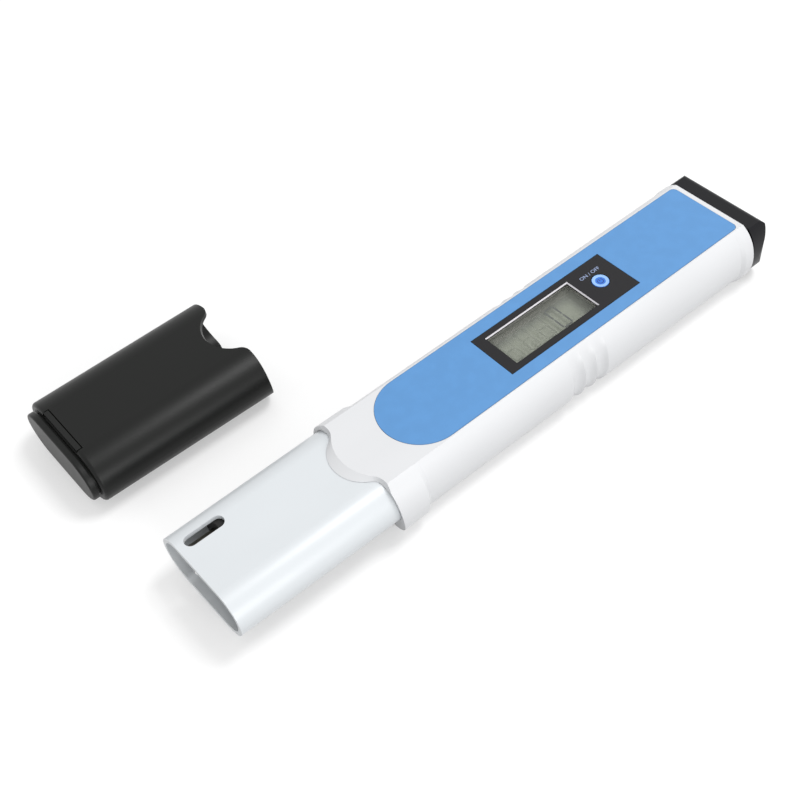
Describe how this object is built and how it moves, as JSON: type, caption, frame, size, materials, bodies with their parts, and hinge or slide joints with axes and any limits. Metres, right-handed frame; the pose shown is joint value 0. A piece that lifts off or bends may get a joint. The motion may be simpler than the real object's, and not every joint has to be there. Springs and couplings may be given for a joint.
{
  "type": "conductivity tester pen",
  "caption": "Flat pen-shaped water conductivity tester with a slotted probe sleeve, a display with one button, a battery cap and a loose probe cap beside it.",
  "frame": {"origin": "on the flat back that the tester lies on, on the tester's mid-plane, near the middle of its length", "axes": "+X along the tester to its battery end, +Y across it to the side where the loose cap lies, +Z out of the front face"},
  "size_m": [0.1605, 0.0818, 0.0169],
  "materials": {
    "white_housing": "semi-gloss moulded ABS",
    "cool_white_sleeve": "semi-gloss moulded ABS",
    "black_cap": "satin black moulded plastic",
    "black_end_cap": "satin black moulded plastic",
    "label_film": "satin printed film",
    "dark_panel": "smooth dark panel",
    "button_blue": "printed blue key",
    "display_glass": "display glass",
    "reflector_film": "grey-green reflective film",
    "light_plastic": "natural moulded plastic",
    "elastomer": "layered elastomer",
    "board_green": "solder mask",
    "black_epoxy": "black epoxy",
    "bright_metal": "nickel-plated metal",
    "electrode_metal": "brushed grey metal",
    "brass_screw": "brass",
    "seal_rubber": "soft rubber",
    "trimmer_blue": "moulded plastic"
  },
  "bodies": {
    "tester": {"housing": "white_housing", "probe_sleeve": "cool_white_sleeve", "electrode_block": "black_end_cap", "electrode_rods": "electrode_metal", "temperature_sensor": "bright_metal", "sleeve_gasket": "seal_rubber", "front_label": "label_film", "display_panel": "dark_panel", "display_front_glass": "display_glass", "display_rear_glass": "display_glass", "display_reflector": "reflector_film", "display_frame": "light_plastic", "zebra_strips": "elastomer", "circuit_board": "board_green", "controller_chip": "black_epoxy", "crystal_can": "bright_metal", "calibration_trimmer": "trimmer_blue", "small_components": "black_epoxy", "probe_clips": "bright_metal", "power_switch": "black_epoxy", "board_contacts": "bright_metal"},
    "button": {"power_button": "button_blue", "switch_stem": "light_plastic"},
    "trimmer_rotor": {"trimmer_screw": "brass_screw"},
    "battery_unit": {"battery_cap": "black_end_cap", "battery_cap_seal": "seal_rubber", "battery_tray": "light_plastic", "button_cells": "bright_metal", "tray_contacts": "bright_metal", "contact_spring": "bright_metal"},
    "cap": {"probe_cap": "black_cap", "probe_cap_plug": "black_cap"}
  },
  "joints": [
    {"name": "button_press", "type": "slide", "parent": "tester", "child": "button", "axis": [0, 0, -1], "range_m": [0, 0.0005], "stiffness_N_per_m": 2000},
    {"name": "trimmer_turn", "type": "hinge", "parent": "tester", "child": "trimmer_rotor", "pos_m": [-0.008, 0.0045, 0.0133], "axis": [0, 0, 1], "range_deg": [-135, 135]},
    {"name": "battery_slide", "type": "slide", "parent": "tester", "child": "battery_unit", "axis": [1, 0, 0], "range_m": [0, 0.031]},
    {"name": "cap_slide", "type": "slide", "parent": "tester", "child": "cap", "axis": [-1, 0, 0], "range_m": [0, 0.04]}
  ]
}
